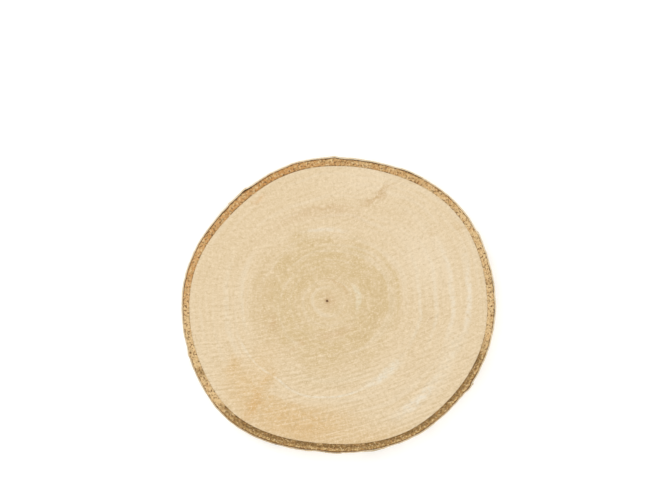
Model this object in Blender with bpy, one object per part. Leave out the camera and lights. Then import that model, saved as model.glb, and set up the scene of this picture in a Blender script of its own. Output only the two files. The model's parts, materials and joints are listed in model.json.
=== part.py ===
"""Birch wood slice: one cross-cut of a birch trunk, with its bark still on.

The wood is a flat disc whose outline is a circle with a few low swells, as a trunk has.
The bark is a ring round it. It carries lenticels, the lens-shaped welts of birch bark,
and a few lips where the papery outer layer has lifted. The slice lies on its lower face,
with the origin at the middle of that face and +Z up.
"""

import math

import bmesh
import bpy
from mathutils import Vector, noise

MM = 0.001

# Driving sizes
MEAN_RADIUS = 106.9 * MM
THICKNESS = 19.5 * MM
BARK_THICKNESS = 6.2 * MM
CAMBIUM_GAP = 0.3 * MM

# Swells round the trunk: how many lobes, their height, and the bearing of a crest
TRUNK_SWELLS = (
    (2, 3.4 * MM, 14),
    (3, 0.6 * MM, -28),
    (4, 0.7 * MM, 39),
    (5, 0.4 * MM, 21),
    (6, 0.7 * MM, -13),
)

# Where the bark is thicker than elsewhere, in the same form
BARK_SWELLS = (
    (1, 0.5 * MM, -69),
    (2, 0.5 * MM, -75),
)

# The pith lies a little off the middle, and its soft core leaves a dimple in each sawn face
PITH = (-8.0 * MM, 3.9 * MM)
PITH_RADIUS = 1.1 * MM
PITH_DEPTH = 0.7 * MM
PITH_SIDES = 12

# How finely the outline and the bark's wall are divided
COLUMNS = 240
BARK_ROWS = 16
WORN_EDGE = 0.8 * MM  # height of the crumbled edge along the top and bottom of the bark

# Unevenness of the bark's wall: depth, length round the trunk, and a shift that gives each
# its own pattern. All of it is longer up the trunk than round it.
RIPPLES = (
    (0.35 * MM, 14 * MM, 1.7),
    (0.15 * MM, 4 * MM, 8.9),
)
UPRIGHT_STRETCH = 2.2

# What the saw took off the bark's edges, and how unevenly
EDGE_WEAR = 0.5 * MM
CHIPS = (0.5 * MM, 6 * MM, 5.3)
LEAST_CHIP = -0.5

# Lenticels are lens-shaped welts
LENTICEL_RISE = 0.6 * MM
LENTICEL_HALF_HEIGHT = 1.3 * MM

# Lenticels on the front: bearing of the middle, height on the bark, and length
FRONT_LENTICELS = (
    (213, 4.8 * MM, 28 * MM),
    (230, 14.4 * MM, 24 * MM),
    (240, 1.7 * MM, 27 * MM),
    (255, 16.9 * MM, 18 * MM),
    (259, 9.2 * MM, 26 * MM),
    (284, 17.0 * MM, 19 * MM),
    (290, 2.2 * MM, 23 * MM),
    (296, 8.7 * MM, 26 * MM),
    (318, 13.4 * MM, 28 * MM),
    (335, 5.4 * MM, 30 * MM),
)

# Round the back they are spread by a rule: each step turns by BACK_STEP degrees
# and takes the next height and length in turn
BACK_START = 349
BACK_STEP = 8.9
BACK_COUNT = 24
BACK_HEIGHTS = (15.8 * MM, 3.2 * MM, 9.6 * MM, 12.9 * MM, 5.9 * MM)
BACK_LENGTHS = (21 * MM, 15 * MM, 27 * MM, 18 * MM)

# Lifted lips of papery bark: bearing of the lip, how far it stands out, how long its
# slope is, and the heights between which it has lifted. A minus length slopes the other way.
LIFTED_LIPS = (
    (330, 2.0 * MM, 9 * MM, 5 * MM, THICKNESS),
    (271, 0.9 * MM, 16 * MM, 9 * MM, THICKNESS),
    (128, 1.3 * MM, -12 * MM, 2 * MM, THICKNESS),
    (138, 1.0 * MM, 8 * MM, 6 * MM, THICKNESS),
    (91, 1.1 * MM, -7 * MM, 4 * MM, THICKNESS),
    (198, 0.9 * MM, 6 * MM, 0 * MM, 17 * MM),
    (28, 0.9 * MM, 9 * MM, 3 * MM, 18 * MM),
)

# Colours and roughness
WOOD_COLOUR = (0.78, 0.62, 0.38, 1)
BARK_COLOUR = (0.66, 0.58, 0.45, 1)
WOOD_ROUGHNESS = 0.7
BARK_ROUGHNESS = 0.8
SHARP_ANGLE = 40


def clear_scene():
    for obj in list(bpy.data.objects):
        bpy.data.objects.remove(obj)


def material(name, colour, roughness):
    made = bpy.data.materials.new(name)
    made.use_nodes = True
    shader = made.node_tree.nodes["Principled BSDF"]
    shader.inputs["Base Color"].default_value = colour
    shader.inputs["Roughness"].default_value = roughness
    shader.inputs["Metallic"].default_value = 0
    return made


def angle_between(first, second):
    """The turn from the second bearing to the first, between -180 and 180 degrees."""
    return (first - second + 180) % 360 - 180


def smooth(share):
    share = min(max(share, 0), 1)
    return share * share * (3 - 2 * share)


def swelling(swells, bearing):
    return sum(
        height * math.cos(lobes * math.radians(bearing - crest))
        for lobes, height, crest in swells
    )


def bark_radius(bearing):
    """The trunk's outline, before the bark's own relief."""
    return MEAN_RADIUS + swelling(TRUNK_SWELLS, bearing)


def inner_radius(bearing):
    return bark_radius(bearing) - BARK_THICKNESS - swelling(BARK_SWELLS, bearing)


def wood_radius(bearing):
    return inner_radius(bearing) - CAMBIUM_GAP


def at(bearing, radius, height):
    turn = math.radians(bearing)
    return Vector((radius * math.cos(turn), radius * math.sin(turn), height))


def unevenness(bearing, height, length, shift):
    """Smooth noise over the bark's wall, between about -1 and 1, with features of that length."""
    place = at(bearing, MEAN_RADIUS, height / UPRIGHT_STRETCH) / length
    return noise.noise(place + Vector((shift, shift, shift)))


def lenticels():
    """Every lenticel as its bearing, height and length."""
    back = [
        (
            BACK_START + BACK_STEP * step,
            BACK_HEIGHTS[step % len(BACK_HEIGHTS)],
            BACK_LENGTHS[step % len(BACK_LENGTHS)],
        )
        for step in range(BACK_COUNT)
    ]
    return list(FRONT_LENTICELS) + back


def nearest_row(height, rows):
    return min(rows, key=lambda row: abs(row - height))


def lenticel_relief(bearing, height, welts):
    """How far the lenticels raise the bark here: each is a lens, highest along its middle."""
    raised = 0
    for middle, row, length in welts:
        along = math.radians(angle_between(bearing, middle)) * MEAN_RADIUS
        lens = 1 - (2 * along / length) ** 2
        if lens <= 0:
            continue
        across = 1 - ((height - row) / (LENTICEL_HALF_HEIGHT * lens)) ** 2
        raised = max(raised, LENTICEL_RISE * math.sqrt(lens) * max(across, 0))
    return raised


def lip_relief(bearing, height):
    """How far lifted papery bark stands out here: a slope that ends at a lip."""
    raised = 0
    for lip, lift, length, low, high in LIFTED_LIPS:
        before = math.radians(angle_between(lip, bearing)) * MEAN_RADIUS
        share = 1 - before / length
        if 0 <= share <= 1 and low <= height <= high:
            raised = max(raised, lift * share * share)
    return raised


def edge_wear(bearing, height):
    """How far the saw has crumbled the bark's sharp edges."""
    from_edge = min(height, THICKNESS - height)
    depth, length, shift = CHIPS
    chips = max(unevenness(bearing, height, length, shift), LEAST_CHIP)
    return (EDGE_WEAR + depth * chips) * (1 - smooth(from_edge / WORN_EDGE))


def outer_radius(bearing, height, welts):
    ripples = sum(
        depth * unevenness(bearing, height, length, shift) for depth, length, shift in RIPPLES
    )
    relief = lenticel_relief(bearing, height, welts) + lip_relief(bearing, height)
    return bark_radius(bearing) + ripples + relief - edge_wear(bearing, height)


def bearings():
    return [360 * column / COLUMNS for column in range(COLUMNS)]


def outline_loop(bm, radius_of, height):
    """A closed loop of edges round the trunk at one height. Returns its edges."""
    corners = [bm.verts.new(at(bearing, radius_of(bearing), height)) for bearing in bearings()]
    return [
        bm.edges.new((corners[column], corners[(column + 1) % COLUMNS]))
        for column in range(COLUMNS)
    ]


def raise_loop(bm, edges, radius_of, height):
    """Extrudes a loop of edges upwards and moves each new corner to its own radius."""
    made = bmesh.ops.extrude_edge_only(bm, edges=edges)["geom"]
    for corner in (part for part in made if isinstance(part, bmesh.types.BMVert)):
        bearing = math.degrees(math.atan2(corner.co.y, corner.co.x)) % 360
        corner.co = at(bearing, radius_of(bearing), height)
    return [part for part in made if isinstance(part, bmesh.types.BMEdge)]


def object_from(bm, name, finish):
    bmesh.ops.recalc_face_normals(bm, faces=bm.faces)
    mesh = bpy.data.meshes.new(name)
    bm.to_mesh(mesh)
    bm.free()
    if finish:
        mesh.materials.append(finish)
    mesh.shade_smooth()
    mesh.set_sharp_from_angle(angle=math.radians(SHARP_ANGLE))
    obj = bpy.data.objects.new(name, mesh)
    bpy.context.scene.collection.objects.link(obj)
    return obj


def pith_cutter(name, height):
    """A squashed ball that sinks the pith's dimple into a sawn face."""
    bm = bmesh.new()
    bmesh.ops.create_uvsphere(
        bm, u_segments=PITH_SIDES, v_segments=PITH_SIDES // 2, radius=PITH_RADIUS
    )
    bmesh.ops.scale(bm, vec=(1, 1, PITH_DEPTH / PITH_RADIUS), verts=bm.verts)
    cutter = object_from(bm, name, None)
    cutter.location = (*PITH, height)
    cutter.hide_render = True
    cutter.display_type = "WIRE"
    return cutter


def make_wood(finish):
    bm = bmesh.new()
    bottom = outline_loop(bm, wood_radius, 0)
    bmesh.ops.contextual_create(bm, geom=bottom)
    top = raise_loop(bm, bottom, wood_radius, THICKNESS)
    bmesh.ops.contextual_create(bm, geom=top)
    wood = object_from(bm, "wood", finish)
    for name, height in (("pith_cutter_bottom", 0), ("pith_cutter_top", THICKNESS)):
        cut = wood.modifiers.new(name, "BOOLEAN")
        cut.operation = "DIFFERENCE"
        cut.object = pith_cutter(name, height)
    return wood


def make_bark(finish):
    """One loop of edges, drawn out along the bottom, up the wall row by row, and back in."""
    spacing = (THICKNESS - 2 * WORN_EDGE) / BARK_ROWS
    rows = [WORN_EDGE + spacing * row for row in range(BARK_ROWS + 1)]
    welts = [(middle, nearest_row(row, rows), length) for middle, row, length in lenticels()]
    bm = bmesh.new()
    foot = outline_loop(bm, inner_radius, 0)
    loop = foot
    for height in [0, *rows, THICKNESS]:
        loop = raise_loop(bm, loop, lambda bearing: outer_radius(bearing, height, welts), height)
    loop = raise_loop(bm, loop, inner_radius, THICKNESS)
    bmesh.ops.bridge_loops(bm, edges=loop + foot)
    return object_from(bm, "bark", finish)


def centre_on_origin(objects):
    """Moves the meshes so that the middle of the slice's box stands over the origin."""
    places = [corner.co for obj in objects for corner in obj.data.vertices]
    middle_x = (min(place.x for place in places) + max(place.x for place in places)) / 2
    middle_y = (min(place.y for place in places) + max(place.y for place in places)) / 2
    for obj in bpy.context.scene.objects:
        obj.location.x -= middle_x
        obj.location.y -= middle_y
    return middle_x, middle_y


def main():
    clear_scene()
    wood = make_wood(material("birch_wood", WOOD_COLOUR, WOOD_ROUGHNESS))
    bark = make_bark(material("birch_bark", BARK_COLOUR, BARK_ROUGHNESS))
    moved = centre_on_origin([wood, bark])
    print("the box's middle was off the trunk's axis by", [round(v / MM, 2) for v in moved], "mm")


main()
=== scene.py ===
# %% [markdown]
# # A slice of birch
#
# The real object is one cross-cut of a birch trunk, 22 cm across and 2 cm thick, sawn on both
# faces and never sanded. Two things make it what it is: the pale end grain with its rings and
# saw marks, and the bark, which is a brown corky ring wrapped in a papery white skin. The
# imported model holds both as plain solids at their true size. This script loads them as a fixed
# frame, measures them, and makes the fine surface round those measurements.

# %% Load the frame
import json
import math
import random

import bmesh
import bpy
import numpy as np
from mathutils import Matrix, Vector, noise
from mathutils.bvhtree import BVHTree

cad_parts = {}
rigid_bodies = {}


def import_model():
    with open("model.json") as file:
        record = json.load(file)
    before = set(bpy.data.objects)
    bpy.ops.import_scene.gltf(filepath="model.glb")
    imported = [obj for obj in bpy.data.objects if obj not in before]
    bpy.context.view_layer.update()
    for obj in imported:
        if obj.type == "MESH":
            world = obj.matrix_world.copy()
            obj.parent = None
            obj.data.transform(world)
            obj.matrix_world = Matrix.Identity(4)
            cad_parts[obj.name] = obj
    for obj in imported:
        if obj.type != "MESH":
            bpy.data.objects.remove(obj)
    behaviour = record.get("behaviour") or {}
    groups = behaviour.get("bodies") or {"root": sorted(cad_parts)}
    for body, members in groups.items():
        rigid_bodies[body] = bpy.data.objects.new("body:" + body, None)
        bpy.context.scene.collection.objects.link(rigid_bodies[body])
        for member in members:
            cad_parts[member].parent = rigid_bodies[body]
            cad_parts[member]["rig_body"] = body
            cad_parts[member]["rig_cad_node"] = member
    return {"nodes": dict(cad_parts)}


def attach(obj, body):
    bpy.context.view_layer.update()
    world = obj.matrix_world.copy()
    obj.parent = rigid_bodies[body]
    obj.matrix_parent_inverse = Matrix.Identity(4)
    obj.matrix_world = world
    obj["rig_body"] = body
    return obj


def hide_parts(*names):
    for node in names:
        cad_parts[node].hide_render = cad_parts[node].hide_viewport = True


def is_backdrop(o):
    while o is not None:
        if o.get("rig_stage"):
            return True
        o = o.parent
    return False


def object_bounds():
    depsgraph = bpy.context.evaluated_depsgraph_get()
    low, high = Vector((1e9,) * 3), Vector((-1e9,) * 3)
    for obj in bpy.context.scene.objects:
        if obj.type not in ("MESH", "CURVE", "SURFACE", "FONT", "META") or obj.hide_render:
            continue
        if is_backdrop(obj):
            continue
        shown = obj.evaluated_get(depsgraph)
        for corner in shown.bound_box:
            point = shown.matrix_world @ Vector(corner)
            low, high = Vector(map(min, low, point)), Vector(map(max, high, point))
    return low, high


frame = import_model()
CAD_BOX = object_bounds()
MM = 0.001
THICKNESS = CAD_BOX[1].z
print("the slice's box in mm:", [round(side / MM, 2) for side in CAD_BOX[1] - CAD_BOX[0]])

# %% [markdown]
# ## The camera
#
# The face of the slice is what people buy it for, so the camera looks straight down on it, as
# in a catalogue. A long lens keeps the bark's wall out of sight, as the photograph does. The
# slice sits low in the frame. Moving the camera does that without a lens shift, which would
# follow the camera into every other view.

# %% Place the camera
IMAGE_WIDTH = 665
IMAGE_HEIGHT = 498
SLICE_WIDTH_IN_PIXELS = 315.8
SLICE_MIDDLE_IN_PIXELS = (338.8, 304.9)
LENS_LENGTH = 100
SENSOR_WIDTH = 36

metres_per_pixel = (CAD_BOX[1].x - CAD_BOX[0].x) / SLICE_WIDTH_IN_PIXELS
camera_height = THICKNESS + LENS_LENGTH / SENSOR_WIDTH * IMAGE_WIDTH * metres_per_pixel
bpy.ops.object.camera_add(
    location=(
        (IMAGE_WIDTH / 2 - SLICE_MIDDLE_IN_PIXELS[0]) * metres_per_pixel,
        (SLICE_MIDDLE_IN_PIXELS[1] - IMAGE_HEIGHT / 2) * metres_per_pixel,
        camera_height,
    ),
    rotation=(0, 0, 0),
)
camera = bpy.context.object
camera.name = "camera"
camera.data.lens = LENS_LENGTH
camera.data.sensor_width = SENSOR_WIDTH
bpy.context.scene.camera = camera
print("the camera stands", round(camera_height, 3), "m above the floor")

# %% [markdown]
# ## Light and floor
#
# A product picture on white is lit from all sides by a pale room, with one large soft lamp that
# is a little stronger than the rest, so that saw marks and welts throw faint shadows. The
# Standard view keeps white paper white, where a filmic view would turn it grey.

# %% Light the room
ROOM_LIGHT = 1.12
LAMP_POWER = 7
LAMP_SIZE = 1.0
LAMP_PLACE = Vector((-0.9, 1.1, 1.5))
FLOOR_SIZE = 12
FLOOR_COLOUR = (0.97, 0.97, 0.97, 1)
FLOOR_GLOW = 0.1

bpy.context.scene.view_settings.view_transform = "Standard"
room = bpy.data.worlds.new("room")
room.use_nodes = True
room.node_tree.nodes["Background"].inputs["Color"].default_value = (1, 1, 1, 1)
room.node_tree.nodes["Background"].inputs["Strength"].default_value = ROOM_LIGHT
bpy.context.scene.world = room

bpy.ops.object.light_add(type="AREA", location=LAMP_PLACE)
lamp = bpy.context.object
lamp.rotation_euler = LAMP_PLACE.to_track_quat("Z", "Y").to_euler()
lamp.data.energy = LAMP_POWER
lamp.data.size = LAMP_SIZE

bpy.ops.mesh.primitive_plane_add(size=FLOOR_SIZE, location=(0, 0, 0))
floor = bpy.context.object
floor.name = "floor"
floor_paint = bpy.data.materials.new("floor_paint")
floor_paint.use_nodes = True
floor_shader = floor_paint.node_tree.nodes["Principled BSDF"]
floor_shader.inputs["Base Color"].default_value = FLOOR_COLOUR
floor_shader.inputs["Roughness"].default_value = 0.9
floor_shader.inputs["Emission Color"].default_value = FLOOR_COLOUR
floor_shader.inputs["Emission Strength"].default_value = FLOOR_GLOW
floor.data.materials.append(floor_paint)
floor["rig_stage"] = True
print("one lamp and a floor", FLOOR_SIZE, "m wide")

# %% [markdown]
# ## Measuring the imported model
#
# The new pieces have to lie where the solids lie. Rays cast from outside inwards find the walls
# of the wood and the bark at every bearing round the trunk. A running average then smooths away
# the flat facets of the solids. The solid's lifted lips are cut off first, because thin flakes
# take their place later.

# %% Find the outlines
COLUMNS = 1200
BEARINGS = np.arange(COLUMNS) * 360 / COLUMNS
OUTSIDE = 200 * MM
WALL_HEIGHTS = [THICKNESS * share for share in (0.2, 0.35, 0.5, 0.65, 0.8)]
LIP_CLEARANCE = 0.35 * MM
# How much further out the wood ends than in the solids, where the bark is thinner than theirs:
# bearing and mm.
WOOD_GROWTH = (
    (5, 0.4), (30, 0.8), (60, 0.5), (78, 0.8), (92, 0.3), (118, 0.5), (142, 0), (172, 0.6),
    (195, 0.6), (210, 0), (225, 0.5), (240, 0.3), (258, 0.9), (285, 1.4), (300, 1.8),
    (318, 1.2), (345, 1.0),
)


def walls(name):
    """The middle distance, over several heights, from the axis to a solid's outer wall at every
    bearing."""
    mesh = frame["nodes"][name].data
    tree = BVHTree.FromPolygons(
        [corner.co for corner in mesh.vertices], [face.vertices for face in mesh.polygons]
    )
    found = []
    for bearing in np.radians(BEARINGS):
        way = Vector((math.cos(bearing), math.sin(bearing), 0))
        starts = [way * OUTSIDE + Vector((0, 0, height)) for height in WALL_HEIGHTS]
        hits = [tree.ray_cast(start, -way)[0] for start in starts]
        found.append(np.median([hit.xy.length for hit in hits]))
    return np.array(found)


def smoothed(values, degrees):
    """A running average round the trunk."""
    half = round(degrees / 360 * COLUMNS / 2)
    window = np.hanning(2 * half + 3)[1:-1]
    padded = np.concatenate([values[-half:], values, values[:half]])
    return np.convolve(padded, window / window.sum(), mode="valid")


def filled(table):
    """A value for every column, from a short table of bearings and values."""
    return np.interp(BEARINGS, *zip(*table), period=360)


bark_walls = walls("bark")
without_lips = np.minimum(bark_walls, smoothed(bark_walls, 16) + LIP_CLEARANCE)
BARK_RADII = smoothed(without_lips, 2)
wood_growth = filled(WOOD_GROWTH) * MM
WOOD_RADII = smoothed(walls("wood"), 3) + wood_growth
MEAN_RADIUS = BARK_RADII.mean()
print("bark's mean radius in mm:", round(MEAN_RADIUS / MM, 2))
print("bark's mean thickness in mm:", round((BARK_RADII - WOOD_RADII).mean() / MM, 2))

# %% [markdown]
# ## Handling the pieces
#
# Every piece starts as a primitive and is shaped in edit mode. An operator acts on all that is
# selected, so each primitive starts from an empty selection, and a piece is picked before an
# operator works on it.


# %% Make helpers to handle pieces
def begin(add, name, **settings):
    """Adds a primitive with nothing else selected and names it."""
    bpy.ops.object.select_all(action="DESELECT")
    add(**settings)
    made = bpy.context.object
    made.name = made.data.name = name
    return made


def pick(*pieces):
    """Selects these pieces and nothing else. The first is the active one."""
    bpy.ops.object.select_all(action="DESELECT")
    for piece in pieces:
        piece.select_set(True)
    bpy.context.view_layer.objects.active = pieces[0]


def edit(piece, *steps):
    """Runs edit-mode steps on one piece."""
    pick(piece)
    bpy.ops.object.mode_set(mode="EDIT")
    for step in steps:
        step()
    bpy.ops.object.mode_set(mode="OBJECT")
    return piece


def use_modifier(piece, kind, **settings):
    """Adds a modifier, sets it up and applies it."""
    pick(piece)
    added = piece.modifiers.new(kind.lower(), kind)
    for name, value in settings.items():
        setattr(added, name, value)
    bpy.ops.object.modifier_apply(modifier=added.name)


def face_outwards():
    bpy.ops.mesh.select_all(action="SELECT")
    bpy.ops.mesh.normals_make_consistent(inside=False)


def shade_smooth(piece, degrees):
    """Smooths the shading except over edges sharper than this."""
    pick(piece)
    bpy.ops.object.shade_smooth_by_angle(angle=math.radians(degrees))


print("pieces can be picked, edited and finished")

# %% [markdown]
# Places round the trunk are given by a bearing, a radius and a height. Bark grew, so its
# unevenness is smooth noise, stretched up the trunk or round it.


# %% Make helpers to place and mark corners
def at(bearing, radius, height):
    turn = math.radians(bearing)
    return Vector((radius * math.cos(turn), radius * math.sin(turn), height))


def places_of(piece):
    """Every corner's place, in rows of x, y and z."""
    places = np.empty(len(piece.data.vertices) * 3)
    piece.data.vertices.foreach_get("co", places)
    return places.reshape(-1, 3)


def columns_of(piece):
    """The number of the column in which each of a ring's corners lies."""
    x, y, z = places_of(piece).T
    return np.round(np.degrees(np.arctan2(y, x)) / 360 * COLUMNS).astype(int) % COLUMNS


def give(piece, name, values):
    """Stores one number for each corner, which a material can read by name."""
    store = piece.data.attributes.new(name, "FLOAT", "POINT")
    store.data.foreach_set("value", np.asarray(values, dtype=np.float32).ravel())


def smooth_step(share):
    share = np.clip(share, 0, 1)
    return share * share * (3 - 2 * share)


def grown(radii, heights, length, upright=1.0, shift=0.0):
    """Smooth noise between about -1 and 1 over a table of places, with features of that
    length in mm, and stretched that much up the trunk."""
    radii, heights = np.broadcast_arrays(radii, heights)
    turns = np.radians(np.broadcast_to(BEARINGS, radii.shape))
    x = (radii * np.cos(turns) / MM / length + shift).ravel()
    y = (radii * np.sin(turns) / MM / length + shift).ravel()
    z = (heights / MM / length / upright + shift).ravel()
    return np.array([noise.noise(place) for place in zip(x, y, z)]).reshape(radii.shape)


print("corners can be placed and marked")

# %% [markdown]
# Both layers of the bark are rings. They are drawn out loop by loop: the newest loop of edges
# is selected, extruded, and its corners are put in place. A bridge closes the ring. Its corners
# then lie in the order in which they were drawn, so a table of loops and bearings fits them.


# %% Make helpers to draw a ring
def draw_ring(name, loops):
    """A closed ring. Each loop is its radii and heights at every bearing, in the order of
    the cross-section, and the last one is bridged to the first."""

    def put(radii, heights):
        mesh = bpy.context.edit_object.data
        shape = bmesh.from_edit_mesh(mesh)
        for corner in shape.verts:
            if corner.select:
                bearing = math.degrees(math.atan2(corner.co.y, corner.co.x))
                column = round(bearing / 360 * COLUMNS) % COLUMNS
                corner.co = at(BEARINGS[column], radii[column], heights[column])
        bmesh.update_edit_mesh(mesh)

    def draw():
        bpy.ops.mesh.select_all(action="SELECT")
        put(*loops[0])
        for radii, heights in loops[1:]:
            bpy.ops.mesh.extrude_edges_move()
            put(radii, heights)
        bpy.ops.mesh.select_all(action="DESELECT")
        bpy.ops.mesh.select_non_manifold()
        bpy.ops.mesh.bridge_edge_loops()

    ring = begin(
        bpy.ops.mesh.primitive_circle_add,
        name,
        vertices=COLUMNS,
        radius=MEAN_RADIUS,
        fill_type="NOTHING",
    )
    return edit(ring, draw, face_outwards)


def spread(piece, table):
    """Gives each corner of a ring its number from a table of loops and bearings."""
    columns = columns_of(piece)
    loops = np.arange(len(columns)) // COLUMNS
    return np.asarray(table)[loops, columns]


print("a ring has", COLUMNS, "columns")

# %% [markdown]
# ## The wood
#
# The disc was cut by a big circular saw. Its teeth left shallow grooves that are arcs about the
# blade's axle, so the mesh is laid out the same way: a grid whose rows are bent round that
# axle. Each row then follows a groove, and far fewer faces are needed than in a square grid.
# The grid is extruded to a slab, its faces are lowered where the teeth bit, and a Boolean keeps
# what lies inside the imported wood, which also gives the exact outline and the pith's dimple.

# %% Bend a grid round the saw's axle
SAW_AXLE = Vector((-120 * MM, 382 * MM, 0))
GRID_REACH = 110 * MM
ROW_SPACING = 0.5 * MM
COLUMN_SPACING = 1.8 * MM

SAW_RADIUS = SAW_AXLE.length
SAW_WAY = math.atan2(-SAW_AXLE.y, -SAW_AXLE.x)

wood = begin(
    bpy.ops.mesh.primitive_grid_add,
    "wood_disc",
    x_subdivisions=round(2 * GRID_REACH / COLUMN_SPACING),
    y_subdivisions=round(2 * GRID_REACH / ROW_SPACING),
    size=2 * GRID_REACH,
    location=(0, 0, 0),
)
for corner in wood.data.vertices:
    turn = SAW_WAY + corner.co.x / SAW_RADIUS
    distance = SAW_RADIUS - corner.co.y
    corner.co = SAW_AXLE + Vector((math.cos(turn), math.sin(turn), 0)) * distance


def thicken():
    bpy.ops.mesh.select_all(action="SELECT")
    bpy.ops.mesh.extrude_region_move(TRANSFORM_OT_translate={"value": (0, 0, THICKNESS)})


edit(wood, thicken, face_outwards)
print("the slab has", len(wood.data.polygons), "faces")

# %% [markdown]
# The log moved about 3 mm with each turn of the blade. Every groove is a little different, so
# its depth follows noise that changes from groove to groove but runs on along it.

# %% Sink the saw marks
SAW_PITCH = 3.2 * MM
SAW_DEPTH = 0.05 * MM
SAW_UNEVEN = 0.05 * MM
LEAST_CUT = 0.005 * MM
UNDERSIDE_SHIFT = 40


def saw_cut(x, y, shift):
    """How deep the teeth bit at this place."""
    away = Vector((x, y, 0)) - SAW_AXLE
    across = away.length
    along = math.atan2(away.y, away.x) * SAW_RADIUS
    drift = noise.noise(Vector((across / (9 * MM), along / (60 * MM), shift)))
    wave = 0.5 - 0.5 * math.cos(2 * math.pi * (across / SAW_PITCH + 0.2 * drift))
    strength = 0.6 + 0.7 * noise.noise(Vector((across / (5 * MM), along / (35 * MM), shift + 7)))
    rough = noise.noise(Vector((across / (1.2 * MM), along / (9 * MM), shift + 3)))
    return LEAST_CUT + SAW_DEPTH * max(strength, 0.1) * wave + SAW_UNEVEN * max(rough, 0)


for corner in wood.data.vertices:
    x, y, z = corner.co
    if z > THICKNESS / 2:
        corner.co.z = THICKNESS - saw_cut(x, y, 0)
    else:
        corner.co.z = saw_cut(-x, y, UNDERSIDE_SHIFT)

print("the saw's marks are", round(SAW_PITCH / MM, 1), "mm apart")

# %% [markdown]
# The Boolean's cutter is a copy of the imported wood. Where the bark is thinner than the solid's,
# the cutter's rim is first moved out to the radius that was measured above.

# %% Cut the disc out
# The cutter's corners within this radius belong to the pith's dimple and stay where they are.
CORE_RADIUS = 50 * MM

cutter = frame["nodes"]["wood"].copy()
cutter.data = cutter.data.copy()
cutter.parent = None
cutter.name = "outline_cutter"
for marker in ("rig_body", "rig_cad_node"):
    del cutter[marker]
bpy.context.scene.collection.objects.link(cutter)


def merge_corners():
    bpy.ops.mesh.select_all(action="SELECT")
    bpy.ops.mesh.remove_doubles(threshold=0.001 * MM)


edit(cutter, merge_corners)
for corner in cutter.data.vertices:
    radius = corner.co.xy.length
    if radius > CORE_RADIUS:
        bearing = math.degrees(math.atan2(corner.co.y, corner.co.x))
        corner.co.xy *= 1 + np.interp(bearing, BEARINGS, wood_growth, period=360) / radius
use_modifier(wood, "BOOLEAN", operation="INTERSECT", object=cutter, solver="MANIFOLD")
bpy.data.objects.remove(cutter)
shade_smooth(wood, 40)
print("the wood has", len(wood.data.polygons), "faces")

# %% [markdown]
# The tree's rings aren't circles round the middle of the slice. They start at the pith, which
# is off centre, and slowly take on the trunk's outline. A material can draw them if each corner
# knows how far it is from the pith to the bark in its own direction.

# %% Give the wood its reach from pith to bark
PITH = Vector((-8.1 * MM, 2.7 * MM, 0))


def reach_from_pith(places):
    """The distance in mm from the pith to the wood's edge, through each place."""
    turns = np.radians(BEARINGS)
    edge_x = WOOD_RADII * np.cos(turns) - PITH.x
    edge_y = WOOD_RADII * np.sin(turns) - PITH.y
    edge_turns = np.arctan2(edge_y, edge_x)
    turn = np.arctan2(places[:, 1] - PITH.y, places[:, 0] - PITH.x)
    distance = np.hypot(edge_x, edge_y) / MM
    return np.interp(turn, edge_turns, distance, period=2 * math.pi)


give(wood, "reach", reach_from_pith(places_of(wood)))
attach(wood, "root")
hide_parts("wood")
print("rings reach", round(WOOD_RADII.mean() / MM, 1), "mm on average")

# %% [markdown]
# ## The inner bark
#
# Between the wood and the white paper lies a ring of cork and bast, 5 to 6 mm wide. The saw
# tears it rather than cuts it, so its two sawn faces are crumbly. It is drawn as loops: up the
# wall next to the wood, outwards over the upper face, down behind the paper and back below.

# %% Draw the inner bark
PAPER_THICKNESS = 0.75 * MM
WOOD_GRIP = 0.06 * MM
UPPER_RINGS = 13
LOWER_RINGS = 8
CRUMB_DEPTH = 0.4 * MM
EDGE_ROUNDING = 0.18 * MM
# Where the paper has come away from the cork: bearing and the gap in mm.
PAPER_GAPS = (
    (0, 0.05), (20, 0.2), (40, 0.05), (70, 0.05), (82, 0.4), (92, 0.1), (118, 0.1), (127, 0.5),
    (134, 0.2), (146, 0.45), (154, 0.2), (176, 0.05), (214, 0.1), (232, 0.05), (258, 0.2),
    (266, 0.35), (274, 0.1), (300, 0.05), (322, 0.3), (334, 0.1),
)
INNER_WALL_FOOT = 0.4 * MM
BARK_WALL_ROWS = (0.4, 0.8, 1.3, 1.9, 2.8, 6)

bark_inner = WOOD_RADII - WOOD_GRIP
paper_gap = filled(PAPER_GAPS) - 0.03
paper_gap += 0.15 * np.abs(grown(BARK_RADII, THICKNESS, 4, shift=44))
bark_outer = BARK_RADII - PAPER_THICKNESS - paper_gap * MM


def crumbled(share, height):
    """One loop on a sawn face of the bark: its radii and how deep each place is broken out."""
    radii = bark_inner + share * (bark_outer - bark_inner)
    if 0 < share < 1:
        radii = radii + 0.12 * MM * grown(radii, height, 0.9)
    crumbs = np.maximum(grown(radii, height, 1.4, shift=5), -0.2) + 0.2
    grains = np.maximum(grown(radii, height, 0.6, shift=9), 0)
    rounding = EDGE_ROUNDING * share**8
    loose = min(1, 5 * share)
    return radii, LEAST_CUT + CRUMB_DEPTH * loose * (0.6 * crumbs + 0.5 * grains) + rounding


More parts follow.
